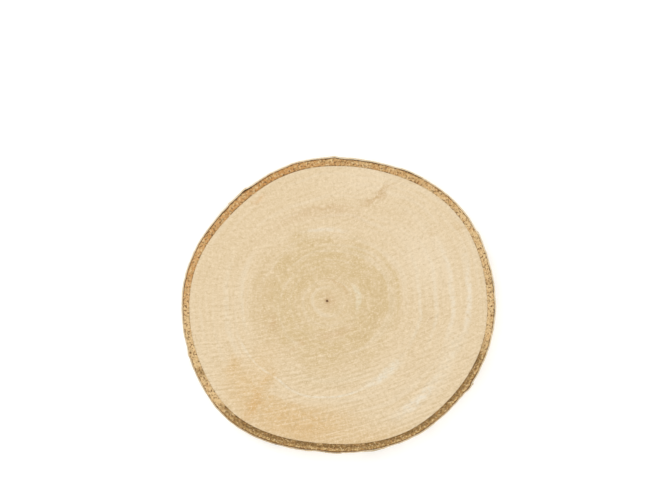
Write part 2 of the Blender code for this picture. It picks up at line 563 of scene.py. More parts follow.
# Each row: its radii, its heights, how far out it lies, and whether the saw cut it.
rows = [(bark_inner, np.full(COLUMNS, INNER_WALL_FOOT), 0, 1)]
for share in np.arange(UPPER_RINGS + 1) / UPPER_RINGS:
    radii, broken = crumbled(share, THICKNESS)
    rows.append((radii, THICKNESS - broken, share, 1))
wall_heights = [THICKNESS - row * MM for row in BARK_WALL_ROWS]
wall_heights += [row * MM for row in reversed(BARK_WALL_ROWS)]
for height in wall_heights:
    radii = bark_outer + 0.1 * MM * grown(bark_outer, height, 1.5, upright=0.4)
    rows.append((radii, np.full(COLUMNS, height), 1, 0))
for share in 1 - np.arange(LOWER_RINGS + 1) / LOWER_RINGS:
    rows.append((*crumbled(share, 0), share, 1))

radii, heights, depth, cut_face = zip(*rows)
inner_bark = draw_ring("inner_bark", list(zip(radii, heights)))
give(inner_bark, "depth", np.repeat(depth, COLUMNS))
give(inner_bark, "cut_face", np.repeat(cut_face, COLUMNS))
shade_smooth(inner_bark, 60)
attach(inner_bark, "root")
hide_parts("bark")
print("the inner bark has", len(inner_bark.data.polygons), "faces")

# %% [markdown]
# ## The marks on the paper
#
# Birch breathes through lenticels: sideways slits with raised corky lips, brown in the white
# paper. They stretch as the trunk grows, so they are long and pointed at both ends. Rain and
# algae stain the paper, and dust gathers in its cracks. The marks on the front are placed one
# by one. On the back, which no picture shows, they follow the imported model's own rule.

# %% List the marks on the front
# Each lenticel: bearing in degrees, then height, length and half its height in mm, how olive
# its brown is, and how broken up it is.
FRONT_LENTICELS = (
    (214.5, 4.8, 37, 1.2, 0.2, 0.3),
    (230.1, 14.4, 26.5, 1.3, 0.25, 0.1),
    (239.9, 1.5, 29.6, 1.2, 0.15, 0.1),
    (254.9, 16.9, 17, 1.2, 0.2, 0.1),
    (258.9, 9.2, 25.8, 1.15, 0.65, 0.1),
    (283.8, 17.0, 18.8, 1.7, 0.8, 0.2),
    (285.8, 12.6, 4.5, 0.6, 0.6, 0.2),
    (290.4, 2.2, 22.8, 0.9, 0.5, 0.2),
    (295.8, 8.6, 25.7, 1.0, 0.8, 0.4),
    (317.5, 13.5, 31, 1.1, 0.5, 0.6),
    (334.4, 5.7, 36.5, 1.0, 0.45, 1.0),
)

# Each patch: bearing in degrees, then height, half length and half height in mm, and strength.
FRONT_STAINS = (
    (231, 8.3, 4, 5.5, 0.75), (284, 15.8, 10, 4.8, 1.15), (283, 7, 7.5, 5.5, 0.85),
    (290, 11, 5, 2, 0.7), (306.2, 9, 3.6, 12, 0.85), (302.5, 13, 4, 7, 0.4),
    (308, 10, 1.2, 1.6, 0.8), (298, 17.3, 7, 2, 0.6), (200.3, 12, 3, 6.5, 1.05),
    (202, 7.5, 2.6, 5, 0.9), (205.4, 15.5, 1.6, 2.2, 0.8), (215, 16, 1.4, 2.4, 1.2),
    (226, 17.6, 3, 1.2, 0.7), (247, 6.5, 5, 3, 0.6), (256, 5.3, 4, 1.2, 0.45),
    (263, 12.4, 5, 1.2, 0.45), (334, 5, 14, 2.6, 0.4), (212, 1.2, 16, 1.6, 0.5),
    (318, 1.4, 14, 1.6, 0.4), (300, 4, 5, 3, 0.35), (220, 12, 6, 3, 0.25), (244, 16, 8, 2.5, 0.3),
    (352, 12, 3, 6, 0.35),
)
# Dark, sooty spots in the same form.
FRONT_SOOT = (
    (207, 9, 5, 4, 0.55), (211, 12, 4.5, 5.5, 0.62), (218, 9.5, 2.2, 2.6, 0.7),
    (215, 16.2, 1, 1.6, 1.1), (222.3, 8.9, 1.1, 0.7, 0.9), (224.1, 5.3, 1.7, 0.8, 1.4),
    (222.0, 14.2, 1.1, 0.9, 1.2), (222.6, 12.6, 0.6, 0.9, 0.8), (222.4, 6.9, 0.9, 0.9, 1.1),
    (221.7, 3.6, 0.9, 0.7, 1.0), (239, 13, 5, 3.4, 0.68), (242.6, 9.5, 5.5, 5, 0.74),
    (246, 6.5, 5, 4.5, 0.7), (239.8, 14.8, 1.4, 1, 1.0), (235.5, 0.5, 2.8, 0.7, 1.4),
    (213.8, 4.9, 1.2, 1.1, 1.3), (217.2, 4.6, 1.0, 0.9, 1.2), (220.2, 3.2, 0.9, 0.7, 1.1),
    (269.5, 5, 1.7, 1.3, 0.7), (262, 12.9, 4, 1, 0.5), (284, 17.4, 6.5, 2, 0.8),
    (201, 8.5, 1.6, 3.4, 0.8), (286, 10.5, 4, 1.4, 0.7), (293.5, 18.4, 0.9, 0.8, 1.4),
    (294.9, 16.3, 1.2, 1.4, 1.3), (297, 16.7, 1.8, 0.8, 0.9), (334.6, 5.2, 1.4, 1.1, 1.6),
    (337, 5.9, 1.0, 0.7, 1.3), (339.4, 6.3, 1.0, 0.7, 1.2), (346.7, 17.3, 1.0, 0.9, 1.4),
    (349.5, 12, 0.9, 0.8, 1.2), (318.5, 17.6, 3.5, 1.4, 0.7), (320.5, 14, 1.1, 0.9, 1.4),
    (322.8, 14.1, 1.1, 0.9, 1.3), (325, 14.4, 0.9, 0.8, 1.2), (322, 10, 3.2, 2.2, 0.75),
    (340, 8.2, 1.0, 0.8, 1.1), (182.5, 10.5, 0.8, 1.0, 1.2), (184, 4.6, 1.0, 0.9, 1.3),
    (301, 18.2, 1.0, 0.6, 1.1), (308, 10, 0.9, 0.9, 1.1),
)
# Two curved rows of spots: bearing and height of the middle in mm, radius, first and last angle.
SOOT_ARCS = ((245.8, 13.2, 4.8, -42, 118), (325.4, 7.6, 4.6, 208, 262))
print(len(FRONT_LENTICELS), "lenticels and", len(FRONT_STAINS) + len(FRONT_SOOT), "patches")

# %% [markdown]
# Chance places the stains and spots on the back. It starts from a fixed seed, so every run
# makes the same slice.

# %% Spread marks over the back
BACK_START = 349
BACK_STEP = 8.9
BACK_COUNT = 22
BACK_HEIGHTS = (15.8, 3.2, 9.6, 12.9, 5.9)
BACK_LENGTHS = (21, 15, 27, 18)
BACK_STAINS = 16
BACK_SOOT = 46
BACK_BEARINGS = (0, 176)
MARKED_HEIGHTS = (1, 18.5)
MARKS_SEED = 1931
ARC_STEP = 15

chance = random.Random(MARKS_SEED)
lenticels = list(FRONT_LENTICELS)
for count in range(BACK_COUNT):
    lenticels.append(
        (
            (BACK_START + BACK_STEP * (count + 1)) % 360,
            BACK_HEIGHTS[count % len(BACK_HEIGHTS)],
            BACK_LENGTHS[count % len(BACK_LENGTHS)],
            chance.uniform(0.8, 1.25),
            chance.uniform(0.1, 0.8),
            chance.uniform(0, 0.7),
        )
    )


def back_patches(count, half_lengths, half_heights, strengths):
    """Seeded patches all over the half of the bark that no picture shows."""
    return [
        (
            chance.uniform(*BACK_BEARINGS),
            chance.uniform(*MARKED_HEIGHTS),
            chance.uniform(*half_lengths),
            chance.uniform(*half_heights),
            chance.uniform(*strengths),
        )
        for _ in range(count)
    ]


stains = list(FRONT_STAINS) + back_patches(BACK_STAINS, (2, 9), (2, 6), (0.3, 0.8))
soot_spots = list(FRONT_SOOT)
soot_spots += back_patches(BACK_SOOT, (0.6, 1.3), (0.5, 1.0), (0.8, 1.4))
soot_spots += back_patches(BACK_SOOT // 4, (1.5, 5), (1.5, 5), (0.4, 0.7))
for bearing, height, radius, first, last in SOOT_ARCS:
    for angle in np.radians(np.arange(first, last, ARC_STEP)):
        across = radius * math.cos(angle) + chance.uniform(-1.7, 0.6)
        turn = math.degrees(across * MM / MEAN_RADIUS)
        size = chance.uniform(0.5, 1.1)
        strength = chance.uniform(0.6, 1.3)
        spot = (bearing + turn, height + radius * math.sin(angle), size, size, strength)
        soot_spots.append(spot)
print(len(lenticels), "lenticels,", len(stains), "stains and", len(soot_spots), "dark spots")

# %% [markdown]
# ## The paper
#
# The white skin is a stack of paper-thin layers. It doesn't reach the sawn edges: the saw frays
# it, and cork shows above and below. It is drawn like the inner bark, with many rows up its
# outer side to carry welts, wrinkles and the steps where a layer came off. The same tables
# that shape it are kept as attributes for its colours.

# %% Work out the paper's edges
PAPER_ROWS = 60
# How far the paper is torn back from its upper and lower edge: bearing and mm.
UPPER_TEAR = (
    (0, 0.2), (40, 0.3), (90, 0.15), (140, 0.3), (180, 0.5), (205, 1.2), (262, 1.3), (274, 0.8),
    (292, 0.25), (345, 0.2),
)
LOWER_TEAR = (
    (0, 0.3), (60, 0.9), (120, 0.4), (180, 0.7), (230, 0.5), (246, 1.1), (266, 1.1), (276, 0.3),
    (340, 0.2),
)
RIM_NOTCH_BEARING = 214.7
RIM_NOTCH_HALF_ANGLE = 1.6
RIM_NOTCH_DEPTH = 2.2


def torn(tear, height, shift):
    """How far the paper is torn back at every bearing, with a frayed edge."""
    fray = 0.5 * grown(BARK_RADII, height, 5, shift=shift)
    fray += 0.35 * np.abs(grown(BARK_RADII, height, 1.6, shift=shift + 3))
    nicks = np.maximum(grown(BARK_RADII, height, 2.5, shift=shift + 6) - 0.25, 0)
    return np.clip(filled(tear) * (1 + fray) + 0.9 * nicks, 0.08, 2.6) * MM


notch = 1 - np.abs((BEARINGS - RIM_NOTCH_BEARING) / RIM_NOTCH_HALF_ANGLE)
paper_top = THICKNESS - torn(UPPER_TEAR, THICKNESS, 2)
paper_top -= np.maximum(notch, 0) * RIM_NOTCH_DEPTH * MM
paper_bottom = torn(LOWER_TEAR, 0, 12)
row_shares = np.linspace(0, 1, PAPER_ROWS + 1)[:, None]
paper_heights = paper_bottom + row_shares * (paper_top - paper_bottom)
print("the paper ends", round((THICKNESS - paper_top.max()) / MM, 2), "mm below the face")

# %% [markdown]
# Each mark is a table with a number for every place on the paper. A lenticel is a pointed lens
# that is highest along its middle, a stain is a soft oval, and a fresh patch is where the
# outermost layer came off. Noise breaks up their outlines.

# %% Work out the paper's marks
# Patches where the outermost layer is gone: first and last bearing, lowest and highest mm.
FRESH_PATCHES = ((309, 326.6, -2, 22), (20, 33, 6, 22), (97, 116, -2, 12), (148, 170, 3, 16))


def around(bearing):
    """The distance in mm round the trunk from that bearing to every column."""
    return np.radians((BEARINGS - bearing + 180) % 360 - 180) * MEAN_RADIUS / MM


heights_mm = paper_heights / MM
lens = np.full(paper_heights.shape, -1.0)
olive = np.zeros(paper_heights.shape)
gaps = grown(BARK_RADII, paper_heights, 1.5, upright=3, shift=21)
for bearing, height, length, half_height, tone, broken in lenticels:
    u = around(bearing) / (length / 2)
    v = (heights_mm - height) / half_height
    bend = 0.2 * np.sin(u * 2 + bearing)
    field = 1 - np.abs(u) ** 3 - np.abs(v + bend) - broken * np.maximum(gaps + 0.1, 0) * 2.2
    field = np.clip(field, -1, 1)
    olive = np.where(field > lens, tone, olive)
    lens = np.maximum(lens, field)


def patched(patches, edge):
    """How strongly the patches cover every place on the paper."""
    cover = np.zeros(paper_heights.shape)
    for bearing, height, half_length, half_height, strength in patches:
        u = around(bearing) / half_length
        v = (heights_mm - height) / half_height
        inside = smooth_step((1 + edge - np.sqrt(u**2 + v**2)) / (2 * edge))
        cover = np.maximum(cover, strength * inside)
    return cover


stain = patched(stains, 0.45)
soot = patched(soot_spots, 0.3)
fresh = np.zeros(paper_heights.shape)
wander = grown(BARK_RADII, paper_heights, 5, shift=31)
for first, last, low, high in FRESH_PATCHES:
    inside = smooth_step((around(first) + 0.4 * wander) / 0.5 + 0.5)
    inside *= smooth_step((2.5 * wander - around(last)) / 1.2 + 0.5)
    inside *= smooth_step((heights_mm - low) / 0.7 + 2 * wander)
    inside *= smooth_step((high - heights_mm) / 0.7 + 2 * wander)
    fresh = np.maximum(fresh, inside)

stain *= 1 - 0.85 * fresh
print("marks cover", round(100 * (np.maximum(lens, stain) > 0).mean()), "% of the paper")

# %% [markdown]
# The relief is built up from those tables. The surface steps down where a layer is gone, a
# lenticel's lips rise round its slit, and near the upper edge the paper peels outwards a little.

# %% Work out the paper's relief
LAYER_STEP = 0.16 * MM
LIP_RISE = 0.34 * MM
SLIT_DEPTH = 0.3 * MM
PEEL = 0.5 * MM
# Ripples: height and length in mm, stretch up the trunk, and a shift of the noise.
RIPPLES = ((0.17, 14, 2.2, 1.7), (0.1, 4, 2.2, 8.9), (0.05, 1.3, 0.5, 3.3))

relief = -LAYER_STEP * fresh
for rise, length, upright, shift in RIPPLES:
    relief += rise * MM * grown(BARK_RADII, paper_heights, length, upright, shift)
relief += LIP_RISE * smooth_step((lens + 0.5) / 0.6)
relief -= SLIT_DEPTH * smooth_step((lens - 0.1) / 0.45)
peel = np.maximum(grown(BARK_RADII, THICKNESS, 9, shift=14) + 0.05, 0)
peel += 0.5 * np.maximum(grown(BARK_RADII, THICKNESS, 2.2, shift=18), 0)
relief += PEEL * peel * smooth_step((heights_mm - 14.5) / 5) ** 2
print("the paper's relief is", round(np.ptp(relief) / MM, 2), "mm deep in all")

# %% [markdown]
# The rows of the tables become loops of the ring, and a few more loops run down behind them to
# give the paper its thickness. Its two edges are tucked in a little, so they look worn.

# %% Draw the paper
BACK_ROWS = [round(share * PAPER_ROWS) for share in (1, 0.93, 0.82, 0.6, 0.3, 0.1, 0)]
EDGE_TUCK = 0.12 * MM

outer_radii = BARK_RADII + relief
outer_radii[0] -= EDGE_TUCK
outer_radii[-1] -= EDGE_TUCK
loops = list(zip(outer_radii, paper_heights))
loops += [(outer_radii[row] - PAPER_THICKNESS, paper_heights[row]) for row in BACK_ROWS]
paper_bark = draw_ring("paper_bark", loops)

paper_tables = {
    "lens": (lens, -1),
    "olive": (olive, 0),
    "stain": (stain, 0),
    "soot": (soot, 0),
    "fresh": (fresh, 0),
    "skin": (np.ones(lens.shape), 0),
}
for name, (table, behind) in paper_tables.items():
    back = np.full((len(BACK_ROWS), COLUMNS), behind)
    give(paper_bark, name, spread(paper_bark, np.vstack([table, back])))
shade_smooth(paper_bark, 50)
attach(paper_bark, "root")
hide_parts("bark")
print("the paper has", len(paper_bark.data.polygons), "faces")

# %% [markdown]
# ## The lifted flakes
#
# In a few places the paper has come loose. Each flake is a thin sheet, fixed along one upright
# edge and free at the other. It starts as a grid, is laid along the trunk, and curls away from
# it more and more towards its free edge. All its loose edges are ragged. A Solidify modifier
# makes it a sheet with two sides.

# %% Draw the flakes
# Each flake: bearing of its fixed edge, its length in mm (towards lower bearings if negative),
# how far it has curled at the free edge in degrees, and its lowest and highest mm.
FLAKES = (
    (325.4, 9, 55, 5.5, 19.3),
    (262.4, 16.5, 6, 14.5, 18.6),
    (134.6, -12, 25, 2, 19.3),
    (133.6, 8, 30, 6, 19.2),
    (94.8, -7, 30, 5, 19.3),
    (194.8, 6, 34, 1, 17),
    (23.2, 9, 24, 3, 18.4),
    (10.6, 4, 34, 12, 19.2),
)
FLAKE_COLUMNS = 30
FLAKE_ROWS = 22
FLAKE_THICKNESS = 0.22 * MM
FLAKE_ROOT = 0.12 * MM
FRAY = 0.22


def curl_of(length, degrees_curled):
    """How far along the trunk and how far off it the sheet is, column by column."""
    shares = np.arange(FLAKE_COLUMNS + 1) / FLAKE_COLUMNS
    angles = math.radians(degrees_curled) * shares**3
    step = abs(length) / FLAKE_COLUMNS
    along = np.concatenate([[0], np.cumsum(np.cos(angles[:-1]) * step)])
    off = np.concatenate([[0], np.cumsum(np.sin(angles[:-1]) * step)])
    return shares, along * math.copysign(1, length), off


def draw_flake(fixed, length, degrees_curled, low, high):
    flake = begin(
        bpy.ops.mesh.primitive_grid_add,
        "flake",
        x_subdivisions=FLAKE_COLUMNS,
        y_subdivisions=FLAKE_ROWS,
        size=1,
        location=(0, 0, 0),
    )
    shares, along, off = curl_of(length, degrees_curled)
    for corner in flake.data.vertices:
        u = corner.co.x + 0.5
        v = corner.co.y + 0.5
        end_fray = FRAY * (0.5 + noise.noise(Vector((v * 5, fixed, 2))))
        u_frayed = u * (1 - end_fray)
        side_fray = FRAY * u * (1 + noise.noise(Vector((u * 7, fixed, 6))))
        v_frayed = v + (0.5 - v) * side_fray
        bearing = fixed + math.degrees(np.interp(u_frayed, shares, along) * MM / MEAN_RADIUS)
        radius = np.interp(bearing, BEARINGS, BARK_RADII, period=360) - FLAKE_ROOT
        waves = 0.15 * u * noise.noise(Vector((u * 3, v * 4, fixed)))
        radius += (np.interp(u_frayed, shares, off) + waves) * MM
        corner.co = at(bearing, radius, (low + (high - low) * v_frayed) * MM)
    edit(flake, face_outwards)
    outward = sum(face.normal.dot(face.center) for face in flake.data.polygons)
    if outward < 0:
        flake.data.flip_normals()
    outer_count = len(flake.data.vertices)
    use_modifier(flake, "SOLIDIFY", thickness=FLAKE_THICKNESS, offset=-1)
    give(flake, "lens", np.full(len(flake.data.vertices), -1))
    give(flake, "skin", np.arange(len(flake.data.vertices)) < outer_count)
    edit(flake, face_outwards)
    return flake


flakes = [draw_flake(*flake) for flake in FLAKES]
bark_flakes = flakes[0]
pick(*flakes)
bpy.ops.object.join()
bark_flakes.name = bark_flakes.data.name = "bark_flakes"
shade_smooth(bark_flakes, 50)
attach(bark_flakes, "root")
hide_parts("bark")
print("the flakes have", len(bark_flakes.data.polygons), "faces")

# %% [markdown]
# ## The shader's words
#
# A material is a graph of small nodes. Written out one by one they would hide the idea, so a
# few short words put a node down, set its inputs and hand on its output, and a sum of two
# outputs is written as a sum. Places are turned to millimetres first, because every size on
# this object is easier to think of that way.


# %% Make words for paint and for sums
# How much brighter than its own paint this room shows a flat surface that faces up.
ROOM_GAIN = 1.22


def paint(red, green, blue):
    """The paint that shows on a screen as this colour, from 0 to 255, under this light."""
    shown = [value / 255 for value in (red, green, blue)]
    light = [
        value / 12.92 if value <= 0.04045 else ((value + 0.055) / 1.055) ** 2.4
        for value in shown
    ]
    return (*[value / ROOM_GAIN for value in light], 1)


class Value:
    """What one output of a node gives. A sum or a product of values puts down its own node."""

    def __init__(self, bench, socket):
        self.bench = bench
        self.socket = socket

    def __add__(self, other):
        return self.bench.math("ADD", self, other)

    def __sub__(self, other):
        return self.bench.math("SUBTRACT", self, other)

    def __mul__(self, other):
        return self.bench.math("MULTIPLY", self, other)

    def __truediv__(self, other):
        return self.bench.math("DIVIDE", self, other)

    def __rtruediv__(self, other):
        return self.bench.math("DIVIDE", other, self)

    def __abs__(self):
        return self.bench.math("ABSOLUTE", self)


print("white paint:", [round(value, 2) for value in paint(255, 255, 255)[:3]])

# %% [markdown]
# One bench belongs to one tree of nodes. Its words are the few kinds of node that this slice
# needs: sums, places, smooth bands, noise, blends, bumps, and groups of nodes.


# %% Make the bench
class Bench:
    """Puts nodes in one tree and joins them."""

    def __init__(self, tree):
        self.tree = tree

    def fill(self, socket, value):
        """Joins a value to an input, or sets the input to a plain number or colour."""
        if isinstance(value, Value):
            self.tree.links.new(value.socket, socket)
        else:
            socket.default_value = value

    def add(self, kind, values=(), **settings):
        """Adds a node and fills its inputs, by number or name, once its settings are made."""
        node = self.tree.nodes.new(kind)
        for name, value in settings.items():
            setattr(node, name, value)
        for name, value in dict(values).items():
            self.fill(node.inputs[name], value)
        return node

    def put(self, kind, values=(), output=0, **settings):
        """Adds a node and hands on one of its outputs."""
        return Value(self, self.add(kind, values, **settings).outputs[output])

    def math(self, operation, *values):
        return self.put("ShaderNodeMath", enumerate(values), operation=operation)

    def vector(self, operation, *values):
        output = "Value" if operation in ("LENGTH", "DOT_PRODUCT") else "Vector"
        return self.put("ShaderNodeVectorMath", enumerate(values), output, operation=operation)

    def scaled(self, place, x, y, z):
        return self.vector("MULTIPLY", place, (x, y, z))

    def moved(self, place, x, y, z):
        return self.vector("ADD", place, (x, y, z))

    def parts(self, place):
        node = self.add("ShaderNodeSeparateXYZ", {0: place})
        return [Value(self, output) for output in node.outputs]

    def joined(self, x=0.0, y=0.0, z=0.0):
        return self.put("ShaderNodeCombineXYZ", {0: x, 1: y, 2: z})

    def band(self, value, low, high, first=0.0, last=1.0):
        """Runs smoothly from first to last as the value goes from low to high."""
        values = {
            "Value": value, "From Min": low, "From Max": high, "To Min": first, "To Max": last,
        }
        return self.put("ShaderNodeMapRange", values, interpolation_type="SMOOTHSTEP")

    def noise(self, place, size, detail=2.0, roughness=0.5, colour=False):
        values = {"Vector": place, "Scale": 1 / size, "Detail": detail, "Roughness": roughness}
        return self.put("ShaderNodeTexNoise", values, 1 if colour else 0)

    def blend(self, share, first, second):
        """Mixes two colours. In a Mix node they are inputs 6 and 7 and come out at 2."""
        return self.put("ShaderNodeMix", {0: share, 6: first, 7: second}, 2, data_type="RGBA")

    def tinted(self, colour, *tints):
        """Lays shades over a colour. Each is a value, its low and high, a share and a shade:
        as the value goes from low to high, the shade goes from nothing to its share."""
        for value, low, high, share, shade in tints:
            colour = self.blend(self.band(value, low, high, 0, share), colour, shade)
        return colour

    def attribute(self, name):
        return self.put("ShaderNodeAttribute", (), "Fac", attribute_name=name)

    def place(self):
        """Where on the piece we are, in mm."""
        return self.scaled(self.put("ShaderNodeTexCoord", (), "Object"), 1000, 1000, 1000)

    def use(self, group, **values):
        """Places a node group and hands on its outputs by name. An underscore in an input's
        name stands for a space."""
        values = {name.replace("_", " "): value for name, value in values.items()}
        node = self.add("ShaderNodeGroup", values, node_tree=group)
        return {output.name: Value(self, output) for output in node.outputs}

    def bump(self, height, distance_mm, strength, under=None):
        values = {"Height": height, "Distance": distance_mm * MM, "Strength": strength}
        if under is not None:
            values["Normal"] = under
        return self.put("ShaderNodeBump", values)


print("the bench is ready")

# %% [markdown]
# A group and a material each get a bench of their own. A finished material is put on its pieces
# with one more word.

# %% Make words for groups and materials
SOCKETS = {"value": "NodeSocketFloat", "place": "NodeSocketVector", "colour": "NodeSocketColor"}


def new_group(name, inputs, outputs):
    """A node group: the group, its bench, its inputs, and the node that takes its outputs."""
    tree = bpy.data.node_groups.new(name, "ShaderNodeTree")
    for sockets, way in ((inputs, "INPUT"), (outputs, "OUTPUT")):
        for socket, kind in sockets.items():
            tree.interface.new_socket(socket, in_out=way, socket_type=SOCKETS[kind])
    bench = Bench(tree)
    given = {socket.name: Value(bench, socket) for socket in bench.add("NodeGroupInput").outputs}
    return tree, bench, given, bench.add("NodeGroupOutput").inputs


def new_material(name):
    """A material and its bench."""
    material = bpy.data.materials.new(name)
    material.use_nodes = True
    return material, Bench(material.node_tree)


def coat(pieces, material, bench, looks):
    """Fills the inputs of the material's Principled shader and puts it on the pieces."""
    for name, value in looks.items():
        bench.fill(bench.tree.nodes["Principled BSDF"].inputs[name], value)
    for piece in pieces:
        piece.data.materials.clear()
        piece.data.materials.append(material)
    print(material.name, "has", len(bench.tree.nodes), "nodes")


print("sockets:", sorted(SOCKETS))

# %% [markdown]
# ## Effects that several finishes share
#
# Four effects turn up again and again on this object: soft blotches, fine grains, the saw's
# arcs, and a soft-edged oval patch. Each is a node group, built once, with named inputs, so a
# finish only says how big and how strong.

# %% Build the shared groups
BLOTCH, bench, given, result = new_group(
    "blotch",
    {"Place": "place", "Size": "value", "Low": "value", "High": "value", "First": "colour",
     "Second": "colour", "Share": "value"},
    {"Colour": "colour"},
)
cloud = bench.noise(given["Place"], given["Size"], detail=5.0, roughness=0.62)
cover = bench.band(cloud, given["Low"], given["High"]) * given["Share"]
bench.fill(result["Colour"], bench.blend(cover, given["First"], given["Second"]))

GRAINS, bench, given, result = new_group(
    "grains", {"Place": "place", "Size": "value", "Amount": "value"}, {"Mask": "value"}
)
cloud = bench.noise(given["Place"], given["Size"], detail=3.0, roughness=0.65)
edge = bench.math("SUBTRACT", 0.75, given["Amount"] * 0.4)
bench.fill(result["Mask"], bench.band(cloud, edge, edge + 0.16))

SAW_ARCS, bench, given, result = new_group(
    "saw_arcs", {"Place": "place", "Pitch": "value"}, {"Mask": "value", "Sawn Place": "place"}
)
away = bench.moved(given["Place"], -SAW_AXLE.x / MM, -SAW_AXLE.y / MM, 0)
away = bench.scaled(away, 1, 1, 0)
across = bench.vector("LENGTH", away)
sides = bench.parts(away)
along = bench.math("ARCTAN2", sides[1], sides[0]) * (SAW_RADIUS / MM)
sawn = bench.joined(along, across)
drift = bench.noise(bench.scaled(sawn, 0.12, 0.5, 1), 9)
wave = bench.math("SINE", (across / given["Pitch"] + drift) * (2 * math.pi))
strength = bench.band(bench.noise(bench.scaled(sawn, 0.12, 1, 1), 4), 0.35, 0.65)
bench.fill(result["Mask"], wave * strength)
bench.fill(result["Sawn Place"], sawn)

PATCH, bench, given, result = new_group(
    "patch",
    {"Place": "place", "Middle": "place", "Turn": "value", "Half Length": "value",
     "Half Width": "value"},
    {"Mask": "value"},
)
turn = bench.math("RADIANS", given["Turn"] * -1.0)
values = {"Vector": bench.vector("SUBTRACT", given["Place"], given["Middle"]), "Angle": turn}
sides = bench.parts(bench.put("ShaderNodeVectorRotate", values, rotation_type="Z_AXIS"))
oval = bench.joined(sides[0] / given["Half Length"], sides[1] / given["Half Width"])
bench.fill(result["Mask"], bench.band(bench.vector("LENGTH", oval), 1.0, 0.0))


def blotched(bench, colour, *blotches):
    """Lays blotches over a colour. Each is a place, a size in mm, the low and high of its
    cloud, a share and a shade."""
    for place, size, low, high, share, shade in blotches:
        colour = bench.use(
            BLOTCH, Place=place, Size=size, Low=low, High=high, First=colour, Second=shade,
            Share=share,
        )["Colour"]
    return colour


def grained(bench, colour, *grains):
    """Scatters grains over a colour. Each kind is a place, a size in mm, an amount, a share
    and a shade."""
    for place, size, amount, share, shade in grains:
        mask = bench.use(GRAINS, Place=place, Size=size, Amount=amount)["Mask"]
        colour = bench.blend(mask * share, colour, shade)
    return colour


print("groups:", [group.name for group in (BLOTCH, GRAINS, SAW_ARCS, PATCH)])

# %% [markdown]
# ## The finish of the wood
#
# Birch end grain is pale straw, a little darker and greener in the heart. Some thirty growth
# rings circle the pith, faint because birch lays down almost the same wood all year. Here and
# there a stretch of ring is paler or browner. Over that lie the saw's arcs as bands of painted
# light and painted shade, then the pores and a few stains. Everything follows from two numbers
# at each place: the distance from the pith, and that distance as a share of the way to the bark.

# %% Set up the wood's rings
RING_COUNT = 34
SAPWOOD = paint(228, 204, 165)
HEARTWOOD = paint(213, 186, 136)
# Pale and dark paints of the grain. They also lay the saw's painted light and painted shade.
PALE_GRAIN_AND_RIDGE_LIGHT = paint(252, 231, 197)
DARK_GRAIN_AND_GROOVE_SHADE = paint(196, 168, 122)

# Stretches of ring: distance from the pith in mm, bearing, half angle, half width, colour,
# strength.
RING_ARCS = (
    (3, 0, 180, 5, (210, 176, 128), 0.6),
    (9.5, 200, 180, 1.8, (240, 226, 200), 0.45),
    (15, 60, 62, 1.9, (202, 162, 104), 0.5),
    (22, 8, 34, 2.8, (240, 236, 212), 0.55),
    (24, 285, 42, 5, (208, 168, 122), 0.4),
    (45, 190, 60, 11, (212, 182, 134), 0.4),
    (49.5, 15, 44, 2.2, (202, 172, 108), 0.55),
    (51, 92, 26, 2.2, (240, 232, 214), 0.5),
    (56, 272, 44, 7, (212, 190, 146), 0.4),
    (62, 95, 48, 5, (216, 186, 146), 0.45),
    (66, 228, 34, 1.2, (240, 232, 212), 0.75),
    (66.6, 272, 34, 1.3, (240, 232, 212), 0.85),
    (66, 308, 20, 4.8, (242, 238, 222), 0.65),
    (66, 0, 48, 2.2, (240, 230, 208), 0.45),
    (60, 180, 34, 2.4, (240, 230, 208), 0.35),
    (72, 184, 36, 2.6, (240, 230, 208), 0.35),
    (77, 2, 42, 2, (240, 230, 208), 0.4),
    (84, 250, 46, 15, (216, 174, 104), 0.6),
    (88, 6, 34, 2.6, (242, 234, 216), 0.5),
    (94, 312, 18, 5, (242, 236, 220), 0.7),
    (95, 335, 20, 7, (240, 230, 208), 0.4),
    (100, 2, 26, 3.6, (242, 234, 216), 0.6),
)
# Stains: place in mm, turn in degrees, half length and half width in mm, colour, strength.
WOOD_STAINS = (
    ((-12, 67), 3, 36, 3.2, (206, 172, 124), 0.55),
    ((28, 77), 36, 22, 3.6, (200, 164, 112), 0.85),
    ((-73.7, -43), 60, 13, 8, (214, 168, 92), 0.5),
    ((-50, -52), 40, 12, 7, (212, 166, 88), 0.55),
    ((-60, -69), 62, 17, 7, (212, 160, 78), 0.7),
    ((-62, -50), 50, 38, 18, (222, 180, 112), 0.35),
    ((-30, -88), -12, 74, 28, (216, 172, 104), 0.55),
    ((24, -96), 8, 50, 16, (216, 178, 118), 0.5),
    ((62, 30), -60, 46, 30, (240, 222, 192), 0.5),
    ((20, 88), 5, 50, 20, (238, 218, 186), 0.4),
    ((-56, 73), 40, 8, 4, (220, 170, 110), 0.5),
    ((84, 55), -50, 7, 5, (214, 182, 132), 0.5),
    ((65, 50), -50, 6, 4, (214, 182, 132), 0.4),
    ((-45, -12.4), 80, 8, 3.5, (200, 160, 108), 0.5),
    ((-26.4, -26.4), 30, 4, 3, (205, 165, 112), 0.4),
    ((-32.6, -32.4), 30, 4, 3, (205, 165, 112), 0.4),
    ((62.9, -10.7), 0, 2.2, 2.0, (170, 130, 90), 0.6),
    ((-33.4, -57), -25, 7, 0.7, (176, 140, 96), 0.6),
)

wood_finish, bench = new_material("sawn_birch")
spot = bench.place()
plane = bench.scaled(spot, 1, 1, 0)
from_pith = bench.moved(plane, -PITH.x / MM, -PITH.y / MM, 0)
wobble = bench.band(bench.noise(spot, 30, detail=1), 0.2, 0.8, -1.6, 1.6)
distance = bench.vector("LENGTH", from_pith) + wobble
growth = distance / bench.attribute("reach")
sides = bench.parts(from_pith)
bearing = bench.math("DEGREES", bench.math("ARCTAN2", sides[1], sides[0]))
print("the rings count", RING_COUNT)

# %% [markdown]
# The heart is a soft disc of darker paint. Years are counted from the pith outwards, and each
# runs from pale early wood to darker late wood. On top lie the stretches that stand out.

